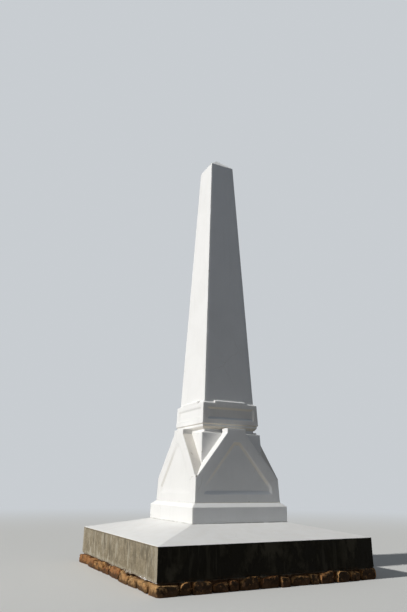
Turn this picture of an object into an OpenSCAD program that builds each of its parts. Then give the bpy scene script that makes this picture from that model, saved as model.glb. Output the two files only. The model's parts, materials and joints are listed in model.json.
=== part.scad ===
// Square obelisk of rendered masonry. It stands on a gabled pedestal and a wide hipped plinth.
// Millimetres, +Z up. The origin is the centre of the footing's underside, and the front faces -Y.

/* [Footing] */
// Height of the bare footing under the plinth walls
footing_h = 200; // [100:10:600]
// How far the footing stands out beyond the walls
footing_out = 55; // [20:5:200]

/* [Plinth] */
// Width of the square plinth over its walls
plinth_w = 4400; // [3200:10:6000]
// Height of the plinth from the footing to its top arris
plinth_h = 520; // [300:10:1000]
// Thickness of the plinth walls
wall_t = 300; // [150:10:500]
// Depth of the sloping top's outer edge
field_edge = 12; // [8:1:60]
// Rise of the sloping top from the arris to the base course
field_rise = 228; // [60:2:500]

/* [Base course] */
// Width of the base course
base_w = 2128; // [2060:4:3000]
// Height of its upright face above the sloping top
base_h = 289; // [120:1:600]
// Rise of its weathered upper edge
base_weather_h = 75; // [20:1:150]

/* [Die] */
// Width of the die at its foot
die_w = 1936; // [1700:4:2040]
// Height of the die
die_h = 1436; // [1300:2:1800]
// Inward lean of the die's faces from the upright, in degrees
die_lean = 2.58; // [0:0.02:4]
// Height of the shoulders, where the gables leave the corners
shoulder_h = 453; // [300:1:600]
// Thickness of the gabled slabs
slab_t = 215; // [120:5:260]
// Width of a gable at its narrow top
gable_top_w = 440; // [300:5:600]
// Height of the upright ends at the narrow top
gable_end_h = 92; // [40:2:200]

/* [Gable panel] */
// Margin under the panel
panel_foot = 155; // [100:5:220]
// Margin beside the panel, from the die's foot corner
panel_side = 183; // [140:1:300]
// Margin along the gable's slopes, square to them
panel_rake = 221; // [150:1:260]
// Width of the panel's flat top
panel_top_w = 156; // [80:2:300]
// Depth of the panel
panel_depth = 25; // [10:1:60]
// Width of the chamfer around the panel
panel_chamfer = 70; // [20:2:100]

/* [Neck] */
// Height of the recess between the core's ledge and the collar bed
neck_gap_h = 88; // [50:2:160]
// Width of the neck
neck_w = 1180; // [1000:5:1250]
// Rise of the ledge around the neck's foot
neck_ledge_h = 30; // [5:1:45]

/* [Collar] */
// Width of the collar at its foot, as if it had no chamfer
collar_w = 1344; // [1260:2:1500]
// Height of the collar's faces
collar_h = 445; // [300:5:700]
// Inward lean of the collar's faces from the upright, in degrees
collar_lean = 2.86; // [0:0.02:4]
// Height of the chamfer around the collar's foot
collar_chamfer_h = 20; // [5:1:50]
// Height of the upright face of the bed moulding under the collar
bed_face_h = 40; // [20:1:100]
// Height of the bed's splayed foot
bed_splay_h = 46; // [10:1:80]
// How far the splayed foot stands out beyond the neck
bed_foot_out = 22; // [5:1:40]
// Set-back of the bed moulding on each side
bed_back = 22; // [5:1:30]
// Rise of the collar's sloping top
collar_weather_h = 30; // [10:1:60]

/* [Collar panel] */
// Margin beside the panel
band_side = 122; // [80:1:200]
// Margin under the panel, from the collar's foot
band_foot = 111; // [70:1:120]
// Margin over the panel
band_head = 84; // [70:1:100]
// Depth of the panel
band_depth = 22; // [8:1:40]
// Width of the chamfer around the panel
band_chamfer = 42; // [15:1:55]

/* [Crest blocks] */
// Width of the raised block in the middle of each side
crest_w = 740; // [400:10:1100]
// How far the block stands above the collar's edge
crest_h = 40; // [15:1:100]

/* [Shaft] */
// Width of the shaft at its foot
shaft_w = 1195; // [1000:1:1215]
// Width of the shaft at its top
shaft_top_w = 600; // [400:5:900]
// Height of the shaft
shaft_h = 6000; // [4000:10:8000]
// Height of the pyramid on top
pyramidion_h = 310; // [100:5:600]

/* [Hidden] */

// The four sides, each a quarter turn on from the one before
SIDES = ["front", "right", "back", "left"];

// Finishes
limewash = "#efeeea";
bare_render = "#968a76";
dark_render = "#262520";
rubble = "#b98a58";

// Levels, from the ground up
wall_z = footing_h;
arris_z = footing_h + plinth_h;
core_z = arris_z - field_edge;
base_z = arris_z + field_rise;
base_edge_z = base_z + base_h;
die_z = base_edge_z + base_weather_h;
shoulder_z = die_z + shoulder_h;
bed_z = die_z + die_h;
gable_end_z = bed_z - gable_end_h;
ledge_z = bed_z - neck_gap_h;
neck_z = ledge_z + neck_ledge_h;
bed_face_z = bed_z + bed_splay_h;
collar_z = bed_face_z + bed_face_h;
collar_edge_z = collar_z + collar_h;
shaft_z = collar_edge_z + collar_weather_h;
pyramidion_z = shaft_z + shaft_h;
top_z = pyramidion_z + pyramidion_h;

// Half widths
footing_half = plinth_w / 2 + footing_out;
plinth_half = plinth_w / 2;
core_half = plinth_half - wall_t;
base_half = base_w / 2;
neck_half = neck_w / 2;
bed_foot_half = neck_half + bed_foot_out;
bed_half = collar_w / 2 - bed_back;
collar_foot_half = collar_w / 2;
collar_chamfer_half = collar_foot_half - tan(collar_lean) * collar_chamfer_h;
collar_edge_half = collar_foot_half - tan(collar_lean) * collar_h;
shaft_half = shaft_w / 2;

// Allowance by which a cutting shape runs past the solid that it cuts
past = 50;

// Half width of the die's faces at a level
function die_half(z) = die_w / 2 - tan(die_lean) * (z - die_z);

// Slope of the gables, rise over run
gable_slope = (gable_end_z - shoulder_z) / (die_half(shoulder_z) - gable_top_w / 2);

// Square body whose four sides all follow one profile of [half width, height] points
module square_body(profile) {
    n = len(profile);
    outline = concat(
        profile,
        [for (i = [n - 1 : -1 : 0]) if (profile[i][0] > 0) [-profile[i][0], profile[i][1]]]
    );
    depth = 2 * (max([for (p = profile) p[0]]) + past);
    intersection() {
        rotate([90, 0, 0])
            linear_extrude(height = depth, center = true)
                polygon(outline);
        rotate([90, 0, 90])
            linear_extrude(height = depth, center = true)
                polygon(outline);
    }
}

// Turns what is drawn for the front to one of the four sides
module on_side(side) {
    turns = search([side], SIDES)[0];
    rotate([0, 0, 90 * turns])
        children();
}

// Part of a square body that belongs to the front, cut at the mitres on the diagonals
module front_quarter() {
    reach = footing_half + past;
    intersection() {
        children();
        linear_extrude(height = top_z)
            polygon([[0, 0], [-reach, -reach], [reach, -reach]]);
    }
}

// Pocket with chamfered sides. Its convex outline lies in the XZ plane and turns anticlockwise seen
// from the front, and the pocket sinks towards +Y. Each side is a plane leaning in by the chamfer.
module chamfered_pocket(outline, depth, chamfer) {
    n = len(outline);
    reach = 2 * max([for (p = outline) norm(p)]);
    lean = atan2(chamfer, depth);
    intersection() {
        translate([-reach, -past, -reach])
            cube([2 * reach, past + depth, 2 * reach]);
        intersection_for (i = [0 : n - 1]) {
            start = outline[i];
            run = outline[(i + 1) % n] - start;
            translate([start[0], 0, start[1]])
                rotate([0, -atan2(run[1], run[0]), 0])
                    rotate([lean, 0, 0])
                        translate([-reach, -reach, 0])
                            cube([2 * reach, 2 * reach, reach]);
        }
    }
}

// Puts the XZ plane on a leaning front face, with its foot at the given half width and level
module on_front_face(half, z, lean) {
    translate([0, -half, z])
        rotate([-lean, 0, 0])
            children();
}

// Footing strip of rough stone under one wall
module footing(side) {
    color(rubble)
        on_side(side)
            front_quarter()
                difference() {
                    square_body([[footing_half, 0], [footing_half, footing_h]]);
                    square_body([[core_half, -past], [core_half, footing_h + past]]);
                }
}

// Masonry mass inside the footing and the walls
module plinth_core() {
    color(rubble)
        square_body([[core_half, 0], [core_half, core_z]]);
}

// Upright rendered wall on one side of the plinth
module wall(side, finish) {
    color(finish)
        on_side(side)
            front_quarter()
                difference() {
                    square_body([[plinth_half, wall_z], [plinth_half, core_z]]);
                    square_body([[core_half, wall_z - past], [core_half, core_z + past]]);
                }
}

// Sloping field of the plinth's hipped top, around the foot of the base course
module field(side) {
    color(limewash)
        on_side(side)
            front_quarter()
                difference() {
                    square_body([[plinth_half, core_z], [plinth_half, arris_z], [base_half, base_z]]);
                    square_body([[base_half, core_z - past], [base_half, base_z + past]]);
                }
}

// Base course, bedded on the plinth core, with a weathered upper edge
module base_course() {
    color(limewash)
        square_body([[base_half, core_z], [base_half, base_edge_z], [die_half(die_z), die_z]]);
}

// Plain solid of the core inside the gabled slabs, up to the ledge at the neck's foot
module die_core_solid() {
    square_body([
        [die_half(die_z) - slab_t, die_z],
        [die_half(ledge_z) - slab_t, ledge_z],
        [neck_half, neck_z]
    ]);
}

// Core of the die, which shows in the notched corners
module die_core() {
    color(limewash)
        die_core_solid();
}

// Front view of a gabled slab, wide enough to leave the corners to the die's leaning faces
module gable_outline() {
    wide = die_half(die_z) + past;
    hip_z = shoulder_z - gable_slope * (wide - die_half(shoulder_z));
    polygon([
        [-wide, die_z], [wide, die_z], [wide, hip_z],
        [gable_top_w / 2, gable_end_z], [gable_top_w / 2, bed_z],
        [-gable_top_w / 2, bed_z], [-gable_top_w / 2, gable_end_z], [-wide, hip_z]
    ]);
}

// Outline of the sunk panel, measured on the face from the middle of the die's foot
function panel_outline() =
    let (
        half = die_half(die_z) - panel_side,
        rake_z = shoulder_h - panel_rake * norm([1, gable_slope]),
        shoulder = rake_z + gable_slope * (die_half(shoulder_z) - half),
        head = rake_z + gable_slope * (die_half(shoulder_z) - panel_top_w / 2)
    )
    [
        [-half, panel_foot], [half, panel_foot], [half, shoulder],
        [panel_top_w / 2, head], [-panel_top_w / 2, head], [-half, shoulder]
    ];

// Gabled slab on one face of the die, mitred to its neighbours, with a sunk panel
module gable(side) {
    color(limewash)
        on_side(side)
            difference() {
                front_quarter()
                    intersection() {
                        square_body([[die_half(die_z), die_z], [die_half(bed_z), bed_z]]);
                        rotate([90, 0, 0])
                            linear_extrude(height = die_w, center = true)
                                gable_outline();
                    }
                square_body([
                    [die_half(die_z - past) - slab_t, die_z - past],
                    [die_half(bed_z + past) - slab_t, bed_z + past]
                ]);
                on_front_face(die_half(die_z), die_z, die_lean)
                    chamfered_pocket(panel_outline(), panel_depth, panel_chamfer);
            }
}

// Recessed neck between the die's core and the collar bed
module neck() {
    color(limewash)
        square_body([[neck_half, neck_z], [neck_half, bed_z]]);
}

// Bed moulding under the collar, splayed at its foot towards the neck
module collar_bed() {
    color(limewash)
        square_body([[bed_foot_half, bed_z], [bed_half, bed_face_z], [bed_half, collar_z]]);
}

// Plain solid of the collar with its chamfered foot and its sloping top
module collar_solid() {
    square_body([
        [bed_half, collar_z],
        [collar_chamfer_half, collar_z + collar_chamfer_h],
        [collar_edge_half, collar_edge_z],
        [shaft_half, shaft_z]
    ]);
}

// Outline of the collar's sunk panel, measured on the face from the middle of the collar's foot
function band_outline() =
    let (
        half = collar_foot_half - band_side,
        head = collar_h - band_head
    )
    [[-half, band_foot], [half, band_foot], [half, head], [-half, head]];

// Collar with a sunk panel on each face
module collar() {
    color(limewash)
        difference() {
            collar_solid();
            for (side = SIDES)
                on_side(side)
                    on_front_face(collar_foot_half, collar_z, collar_lean)
                        chamfered_pocket(band_outline(), band_depth, band_chamfer);
        }
}

// Plain solid of the shaft
module shaft_solid() {
    square_body([[shaft_half, shaft_z], [shaft_top_w / 2, pyramidion_z]]);
}

// Raised block in the middle of one side, bedded on the collar's slope against the shaft
module crest(side) {
    crest_edge_half = collar_edge_half - tan(collar_lean) * crest_h;
    color(limewash)
        on_side(side)
            difference() {
                intersection() {
                    square_body([
                        [collar_edge_half, collar_edge_z],
                        [crest_edge_half, collar_edge_z + crest_h],
                        [shaft_half, shaft_z + crest_h]
                    ]);
                    translate([-crest_w / 2, -collar_w, collar_z])
                        cube([crest_w, collar_w, collar_h + collar_weather_h + crest_h + past]);
                }
                collar_solid();
                shaft_solid();
            }
}

// Tall tapered shaft
module shaft() {
    color(limewash)
        shaft_solid();
}

// Low pyramid that closes the shaft
module pyramidion() {
    color(limewash)
        square_body([[shaft_top_w / 2, pyramidion_z], [0, top_z]]);
}

footing("front");  // footing_front
footing("right");  // footing_right
footing("back");  // footing_back
footing("left");  // footing_left
plinth_core();
wall("front", dark_render);  // wall_front
wall("right", bare_render);  // wall_right
wall("back", dark_render);  // wall_back
wall("left", bare_render);  // wall_left
field("front");  // field_front
field("right");  // field_right
field("back");  // field_back
field("left");  // field_left
base_course();
die_core();
gable("front");  // gable_front
gable("right");  // gable_right
gable("back");  // gable_back
gable("left");  // gable_left
neck();
collar_bed();
collar();
crest("front");  // crest_front
crest("right");  // crest_right
crest("back");  // crest_back
crest("left");  // crest_left
shaft();
pyramidion();
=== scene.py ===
# Square obelisk of rendered masonry on a gabled pedestal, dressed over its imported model.
# Metres, +Z up. The front faces -Y, and the origin is the centre of the footing's underside.
import json
import math

import bmesh
import bpy
import numpy as np
from mathutils import Matrix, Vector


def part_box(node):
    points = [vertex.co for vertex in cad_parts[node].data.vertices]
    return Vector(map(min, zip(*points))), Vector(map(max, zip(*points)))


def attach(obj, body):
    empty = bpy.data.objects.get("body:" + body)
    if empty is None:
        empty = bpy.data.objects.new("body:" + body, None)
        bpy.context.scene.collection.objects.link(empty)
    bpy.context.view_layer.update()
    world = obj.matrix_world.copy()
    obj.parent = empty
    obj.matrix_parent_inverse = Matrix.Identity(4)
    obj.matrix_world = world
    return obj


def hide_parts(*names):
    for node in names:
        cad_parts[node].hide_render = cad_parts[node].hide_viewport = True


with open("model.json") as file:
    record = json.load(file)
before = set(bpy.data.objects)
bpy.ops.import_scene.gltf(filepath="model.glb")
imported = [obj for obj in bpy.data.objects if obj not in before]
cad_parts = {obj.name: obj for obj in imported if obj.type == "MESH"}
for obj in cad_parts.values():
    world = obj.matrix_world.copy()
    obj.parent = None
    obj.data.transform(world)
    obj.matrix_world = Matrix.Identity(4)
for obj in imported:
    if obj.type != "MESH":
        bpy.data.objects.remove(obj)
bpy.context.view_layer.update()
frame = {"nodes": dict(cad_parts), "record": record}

bl_info = {
    "name": "Gabled Obelisk",
    "version": (1, 0, 0),
    "blender": (4, 5, 0),
    "location": "View3D > Sidebar > Obelisk",
    "description": "Dresses a limewashed obelisk on its rubble footing, and sets its studio",
    "category": "Add Mesh",
}

BODY = "root"
SIDES = ("front", "right", "back", "left")
PHOTO_SIZE = (407, 612)


# Sizes and colours


def length(title, words, default, low=0.0, high=1.0):
    """A length in metres for a property group."""
    return bpy.props.FloatProperty(
        name=title, description=words, default=default, min=low, max=high,
        precision=4, unit="LENGTH", subtype="DISTANCE",
    )


def degrees(title, words, default):
    """An angle for a property group, with its default written in degrees."""
    return bpy.props.FloatProperty(
        name=title, description=words, default=math.radians(default), unit="ROTATION", subtype="ANGLE",
    )


def number(title, words, default, low, high):
    """A plain number for a property group."""
    return bpy.props.FloatProperty(name=title, description=words, default=default, min=low, max=high)


def colour(title, words, default):
    """A linear colour for a property group."""
    return bpy.props.FloatVectorProperty(
        name=title, description=words, default=default, min=0.0, max=1.0, size=3, subtype="COLOR",
    )


class MasonrySizes(bpy.types.PropertyGroup):
    """Sizes of the plasterer's and the mason's hand work."""

    arris: length("Arris", "Radius of the rubbed arrises of the limewashed masonry", 0.009)
    ledge_arris: length("Ledge arris", "Radius of the arrises of the collar and its crest", 0.003)
    wall_arris: length("Wall arris", "Radius of the arrises of the plinth walls", 0.014)
    field_arris: length("Field arris", "Radius of the arris around the plinth's sloping top", 0.008)
    wave: length("Unevenness", "How far the rendered faces wander from true", 0.0022)
    chip: length("Chips", "Depth of the knocks along the arrises", 0.007)
    mesh_step: length("Mesh step", "Spacing of the mesh over the rendered faces", 0.045, low=0.01, high=0.2)
    ragged: length("Ragged edge", "How far the render's lower edge wanders up and down", 0.020)
    bedding_back: length("Bedding set-back", "Distance of the bedding behind the plinth walls", 0.055)
    haunch: length("Mortar haunch", "How far the mortar squeezed under the render stands out", 0.052)
    joint: length("Stone joint", "Gap between two footing stones", 0.042)
    stone_depth: length("Stone depth", "How far the footing stones reach in from their faces", 0.33)
    notch_fill: length("Notch fill", "Height of the mortar left in one notch of the die", 0.062)


class MasonryColours(bpy.types.PropertyGroup):
    """Colours of the finishes, linear."""

    limewash: colour("Limewash", "Matt white limewash", (0.95, 0.945, 0.93))
    # Also painted shade: the grey on the lit sides' sills, and part of the grey low down.
    limewash_grey: colour("Rain grey", "Grey that rain leaves on the limewash", (0.60, 0.59, 0.56))
    # Also painted shade: the olive collar, the line under the collar's foot and the darker rakes.
    limewash_earth: colour("Earthy limewash", "Dust and olive dirt on the limewash", (0.58, 0.49, 0.36))
    # Painted shade: bluer, darker sills and shaft on the shaded front and back.
    shade_blue_tint: colour("Cool limewash", "Bluer limewash on shaded sills and shaft", (0.47, 0.52, 0.58))
    # Painted bounce light: warmer undersides on the shaded front and back.
    bounce_warm_tint: colour("Warm soffits", "Yellowed limewash on the undersides", (0.90, 0.80, 0.62))
    bare_render: colour("Bare render", "Cement render of the plinth walls", (0.320, 0.268, 0.184))
    bare_render_low: colour("Bare render, foot", "The same render near the ground", (0.275, 0.225, 0.145))
    bare_render_dark: colour("Rain streaks", "Dark streaks down the bare render", (0.150, 0.126, 0.086))
    bare_render_pale: colour("Lime bloom", "Pale lime streaks down the bare render", (0.52, 0.475, 0.38))
    # Painted shade: the near-black coat and its lighter patches stand in for the deep shade of the front and
    # back walls.
    dark_render: colour("Dark coat", "Near-black coat of the front and back walls", (0.0095, 0.0080, 0.0050))
    painted_shade_patches: colour("Dark coat, worn", "Where the dark coat has thinned", (0.070, 0.063, 0.046))
    stone: colour("Limestone", "Yellow limestone of the footing", (0.54, 0.285, 0.105))
    stone_pale: colour("Limestone, pale", "Palest footing stones", (0.64, 0.39, 0.17))
    stone_red: colour("Limestone, red", "Reddest footing stones", (0.36, 0.15, 0.055))
    earth: colour("Earth", "Earth in the joints and pits of the stones", (0.085, 0.042, 0.019))
    # Painted shade: near-black stone faces on the shaded front and back.
    shade_black_stone: colour("Damp stone", "Limestone that stays damp and black", (0.022, 0.012, 0.006))
    mortar: colour("Mortar", "Mortar between the stones", (0.40, 0.35, 0.27))


class StudioLight(bpy.types.PropertyGroup):
    """Camera and light."""

    camera_place: bpy.props.FloatVectorProperty(
        name="Camera place", description="Where the camera stands",
        default=(-5.715, -10.736, 1.669), size=3, unit="LENGTH", subtype="TRANSLATION",
    )
    camera_yaw: degrees("Camera yaw", "Turn of the view from +Y towards +X", 26.589)
    camera_pitch: degrees("Camera pitch", "Rise of the view above the horizon", 18.185)
    camera_roll: degrees("Camera roll", "Turn of the camera about its view", 0.568)
    focal_pixels: number("Focal length", "In pixels of the photograph", 540.0, low=100.0, high=3000.0)
    key_height: degrees("Key height", "Angle of the key light above the ground", 31.0)
    key_turn: degrees("Key turn", "Turn of the key light from -X towards -Y", -1.2)
    key_softness: degrees("Key softness", "Apparent width of the key light", 2.5)
    key_strength: number("Key strength", "Strength of the key light", 2.95, low=0.0, high=10.0)
    key_colour: colour("Key colour", "Colour of the key light", (1.0, 0.985, 0.955))
    sky: colour("Sky", "Soft light from above", (0.12, 0.13, 0.14))
    horizon: colour("Horizon", "Soft light from all round, level with the ground", (0.274, 0.322, 0.405))
    backdrop: colour("Backdrop", "Pale backdrop that the camera sees", (0.58, 0.61, 0.64))
    floor: colour("Floor", "Pale floor that the camera sees", (0.80, 0.80, 0.78))
    floor_near: colour("Near floor bounce", "Floor by the obelisk, as it lights it", (0.24, 0.205, 0.15))
    floor_far: colour("Far floor bounce", "The other floor, as it lights the obelisk", (0.10, 0.090, 0.075))


def sizes():
    """The scene's sizes of the hand work."""
    return bpy.context.scene.obelisk_sizes


def colours():
    """The scene's colours of the finishes."""
    return bpy.context.scene.obelisk_colours


def studio():
    """The scene's camera and light."""
    return bpy.context.scene.obelisk_studio


# Measures read from the frame

ROUND_DIGITS = 4
FACE_TOLERANCE = 0.002


def corner_points(node):
    """The corner points of a CAD node, each once, from the lowest to the highest."""
    vertices = frame["nodes"][node].data.vertices
    points = np.empty(len(vertices) * 3)
    vertices.foreach_get("co", points)
    points = np.unique(points.reshape(-1, 3).round(ROUND_DIGITS), axis=0)
    return points[np.argsort(points[:, 2], kind="stable")]


def profile_of(node):
    """The [half width, height] of a square node's corners, from the lowest to the highest."""
    points = corner_points(node)
    on_arris = np.isclose(np.abs(points[:, 0]), np.abs(points[:, 1]), atol=FACE_TOLERANCE)
    pairs = np.abs(points[on_arris][:, [0, 2]])
    return np.unique(pairs[:, ::-1], axis=0)[:, ::-1]


def top_of(node):
    """The level of a CAD node's top."""
    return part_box(node)[1].z


def foot_of(node):
    """The level of a CAD node's foot."""
    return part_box(node)[0].z


def half_of(node):
    """How far a CAD node reaches from the axis towards +X."""
    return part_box(node)[1].x


def wall_half():
    """Half the plinth's width over its walls."""
    return half_of("wall_right")


def wall_thickness():
    """The plinth walls' thickness, from their faces in to the core."""
    return wall_half() - half_of("plinth_core")


def field_arris_level():
    """The level of the arris around the plinth's sloping top."""
    points = corner_points("field_front")
    outer = np.isclose(-points[:, 1], wall_half(), atol=FACE_TOLERANCE)
    return float(points[outer][:, 2].max())


# Noise

HASH_PRIMES = (73856093, 19349663, 83492791, 1274126177)
HASH_MASK = 0xFFFF
IN_PLAN = (1, 1, 0)


def cell_random(cells, seed):
    """A number from 0 to 1 for each whole-number cell corner: its coordinates times large primes,
    mixed bit by bit."""
    whole = cells.astype(np.int64)
    mixed = (
        whole[..., 0] * HASH_PRIMES[0]
        ^ whole[..., 1] * HASH_PRIMES[1]
        ^ whole[..., 2] * HASH_PRIMES[2]
        ^ (seed + 1) * HASH_PRIMES[3]
    )
    mixed = (mixed ^ mixed >> 13) * HASH_PRIMES[3]
    mixed = (mixed ^ mixed >> 16) * HASH_PRIMES[0]
    return (mixed >> 7 & HASH_MASK) / HASH_MASK


def smooth_noise(points, cell, seed):
    """Noise from -1 to 1: a random number at each corner of a lattice of that cell size, blended
    between the eight corners around a point by t*t*(3 - 2*t)."""
    place = points / cell
    corner = np.floor(place)
    t = place - corner
    t = t * t * (3 - 2 * t)
    total = 0.0
    for step in np.ndindex(2, 2, 2):
        weight = np.prod(np.where(step, t, 1 - t), axis=-1)
        total = total + weight * cell_random(corner + step, seed)
    return 2 * total - 1


def rough_noise(points, cell, seed=0, octaves=3):
    """Noise from about -1 to 1: smooth noise plus half as much at half the cell size, and so on."""
    shares = [0.5**k for k in range(octaves)]
    layers = [share * smooth_noise(points, cell * share, seed + k) for k, share in enumerate(shares)]
    return sum(layers) / sum(shares)


def smooth_step(low, high, value):
    """0 at low and before it, 1 at high and past it, with t*t*(3 - 2*t) between. Low may be the
    larger of the two."""
    t = np.clip((value - low) / (high - low), 0.0, 1.0)
    return t * t * (3 - 2 * t)


# Meshes

MERGE_DISTANCE = 2e-5
CREASE_ANGLE = math.radians(38.0)
ARC_STEPS = 4


def arc_angles(last=math.pi / 2, steps=ARC_STEPS):
    """Evenly spaced angles from 0 to the last one, for a round arris."""
    return np.linspace(0.0, last, steps + 1)


def circle_angles(count):
    """Evenly spaced angles all round, the first not repeated at the end."""
    return np.linspace(0.0, 2 * math.pi, count, endpoint=False)


def grid_faces(rows, columns):
    """Four-sided faces of rows of points, each row a closed loop joined to the next."""
    row, column = np.meshgrid(np.arange(rows - 1), np.arange(columns), indexing="ij")
    after = (column + 1) % columns
    corners = [
        row * columns + column, row * columns + after,
        (row + 1) * columns + after, (row + 1) * columns + column,
    ]
    return np.stack(corners, axis=-1).reshape(-1, 4)


def capped_faces(rows, columns):
    """The faces of closed loops, with a flat face to close the first loop and the last."""
    first = list(range(columns))[::-1]
    last = list(range((rows - 1) * columns, rows * columns))
    return grid_faces(rows, columns).tolist() + [first, last]


def turned(points, turns):
    """Points turned about the Z axis by quarter turns, which carries the front side to another."""
    quarter = np.array([[0.0, 1.0, 0.0], [-1.0, 0.0, 0.0], [0.0, 0.0, 1.0]])
    return points @ np.linalg.matrix_power(quarter, turns)


def add_piece(name, points, faces, finish, replaced=(), marks=None):
    """A piece from points and faces: doubles merged, faces turned outwards, smooth but for sharp
    creases. marks are named numbers, one for each point, that its finish reads."""
    mesh = bpy.data.meshes.new(name)
    mesh.from_pydata(np.asarray(points).reshape(-1, 3).tolist(), [], faces)
    for mark, values in (marks or {}).items():
        layer = mesh.attributes.new(mark, "FLOAT", "POINT")
        layer.data.foreach_set("value", np.asarray(values, np.float32).ravel())
    shell = bmesh.new()
    shell.from_mesh(mesh)
    bmesh.ops.remove_doubles(shell, verts=shell.verts, dist=MERGE_DISTANCE)
    bmesh.ops.recalc_face_normals(shell, faces=shell.faces)
    shell.to_mesh(mesh)
    shell.free()
    mesh.shade_smooth()
    mesh.set_sharp_from_angle(angle=CREASE_ANGLE)
    mesh.materials.append(finish_of(finish))
    piece = bpy.data.objects.new(name, mesh)
    bpy.context.scene.collection.objects.link(piece)
    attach(piece, BODY)
    if replaced:
        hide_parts(*replaced)


def spread(anchors, counts):
    """Evenly spaced places from each anchor to the next, count by count, along the first axis."""
    parts = [
        np.linspace(start, end, count, endpoint=False)
        for start, end, count in zip(anchors, anchors[1:], counts)
    ]
    return np.concatenate(parts + [np.asarray(anchors[-1])[None]])


def rounded(corners, radii):
    """A line of 2-D corners with each inner one rounded: a quadratic curve from its radius before
    the corner to its radius after, with the corner itself as the middle control point."""
    corners = np.asarray(corners, float)
    t = np.linspace(0.0, 1.0, ARC_STEPS + 1)[:, None]
    parts = [corners[:1]]
    for before, corner, after, radius in zip(corners, corners[1:], corners[2:], radii):
        start = corner + radius * (before - corner) / np.linalg.norm(before - corner)
        end = corner + radius * (after - corner) / np.linalg.norm(after - corner)
        parts.append((1 - t) ** 2 * start + 2 * t * (1 - t) * corner + t**2 * end)
    return np.concatenate(parts + [corners[-1:]])


def filled(line, spacing):
    """A line of points with more set evenly between them, so that no step is over the spacing."""
    line = np.asarray(line, float)
    steps = np.linalg.norm(np.diff(line, axis=0), axis=1)
    return spread(list(line), np.maximum(1, np.ceil(steps / spacing)).astype(int))


# Hand work

WAVE_CELL = 0.55
WAVE_SEED = 11
CHIP_CELL = 0.09
CHIP_SEED = 23
CHIP_LEVEL = 0.42


def wave_at(points):
    """The trowel's slow waves: how far a rendered face stands out from true."""
    return sizes().wave * rough_noise(points, WAVE_CELL, WAVE_SEED)


def knock_at(points):
    """Depth of the knocks along an arris: the peaks of a fine noise."""
    rough = rough_noise(points, CHIP_CELL, CHIP_SEED, octaves=2)
    return sizes().chip * smooth_step(CHIP_LEVEL, 1.0, rough)


# Square masonry


ARRIS_SHARE_MOST = 0.8


def square_rings(halves, heights, radius, cuts, spacing):
    """Rings of a square body with round arrises. Each side runs along its flat from one arris to
    the next, then round a quarter circle. Gives the points and their outward directions as
    rings x stations x 3, and each station's mark, 0 on a flat and 1 on an arris."""
    halves = np.asarray(halves, float)
    radius = np.minimum(radius, ARRIS_SHARE_MOST * halves)
    flat = halves - radius
    inner = [np.full_like(flat, cut) for cut in sorted([-c for c in cuts] + list(cuts))]
    anchors = [-flat] + inner + [flat]
    widest = [float(np.abs(b - a).max()) for a, b in zip(anchors, anchors[1:])]
    along = spread(anchors, [max(1, math.ceil(width / spacing)) for width in widest]).T
    angle = arc_angles()[1:-1]
    outward = np.stack([np.sin(angle), -np.cos(angle)], axis=-1)
    centre = np.stack([flat, -flat], axis=-1)[:, None]
    arc = centre + radius[:, None, None] * outward
    face = np.stack([along, np.broadcast_to(-halves[:, None], along.shape)], axis=-1)
    side = np.concatenate([face, arc], axis=1)
    level = np.broadcast_to(np.asarray(heights)[:, None, None], side.shape[:2] + (1,))
    side = np.concatenate([side, level], axis=-1)
    direction = np.concatenate([np.tile([0.0, -1.0], (along.shape[1], 1)), outward])
    direction = np.column_stack([direction, np.zeros(len(direction))])
    arris = np.ones(len(direction))
    arris[1 : along.shape[1] - 1] = 0.0
    rings = np.concatenate([turned(side, turns) for turns in range(4)], axis=1)
    directions = np.concatenate([turned(direction, turns) for turns in range(4)])
    return rings, np.broadcast_to(directions, rings.shape), np.tile(arris, 4)


def square_piece(node, bends=(), profile=None, cuts=(), rows=(), pocket=None, step=None):
    """A square limewashed node as hand-worked masonry: rings up its profile, with rounded knees and
    arrises. A pocket gives the depth of a sunk panel from a side's x and height. cuts and rows are
    places across a side and levels that the mesh has to follow."""
    corners = profile_of(node) if profile is None else np.asarray(profile)
    step = step or sizes().mesh_step
    line = rounded(corners, bends or [sizes().arris] * len(corners))
    heights = np.unique(np.concatenate([filled(line, step)[:, 1], np.asarray(rows, float)]))
    halves = np.interp(heights, line[:, 1], line[:, 0])
    rings, outward, arris = square_rings(halves, heights, sizes().arris, cuts, step)
    inward = knock_at(rings) * arris - wave_at(rings)
    if pocket:
        across = np.where(np.abs(outward[..., 0]) > np.abs(outward[..., 1]), rings[..., 1], rings[..., 0])
        inward = inward + pocket(np.abs(across), rings[..., 2]) * (1 - arris)
    worn = rings - outward * inward[..., None]
    marks = {"arris": np.broadcast_to(arris, rings.shape[:2])}
    add_piece(node + "_masonry", worn, capped_faces(*rings.shape[:2]), "limewash", (node,), marks=marks)


PANEL_SIDE_LEAST = 0.05
PANEL_DEEPEST = 0.1
PANEL_CHAMFER_STEPS = 4


def eased_ramp(t):
    """A ramp from 0 to 1 whose two ends are softened, as worn plaster is: the mean of the plain
    ramp and t*t*(3 - 2*t)."""
    return (np.clip(t, 0.0, 1.0) + smooth_step(0.0, 1.0, t)) / 2


def collar_panel():
    """The corners of the front face's sunk panel on the collar and of the panel's floor, where the
    floor lies behind the face. Gives each as half width, lowest and highest level, and the depth."""
    profile, points = profile_of("collar"), corner_points("collar")
    face = np.interp(points[:, 2], profile[:, 1], profile[:, 0])
    depth = points[:, 1] + face
    inner = (np.abs(points[:, 0]) < face - PANEL_SIDE_LEAST) & (depth < PANEL_DEEPEST)
    sunk = depth > FACE_TOLERANCE
    outline, floor = points[inner & ~sunk], points[inner & sunk]
    ranges = [(part[:, 0].max(), part[:, 2].min(), part[:, 2].max()) for part in (outline, floor)]
    return *ranges, float(depth[inner & sunk].mean())


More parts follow.
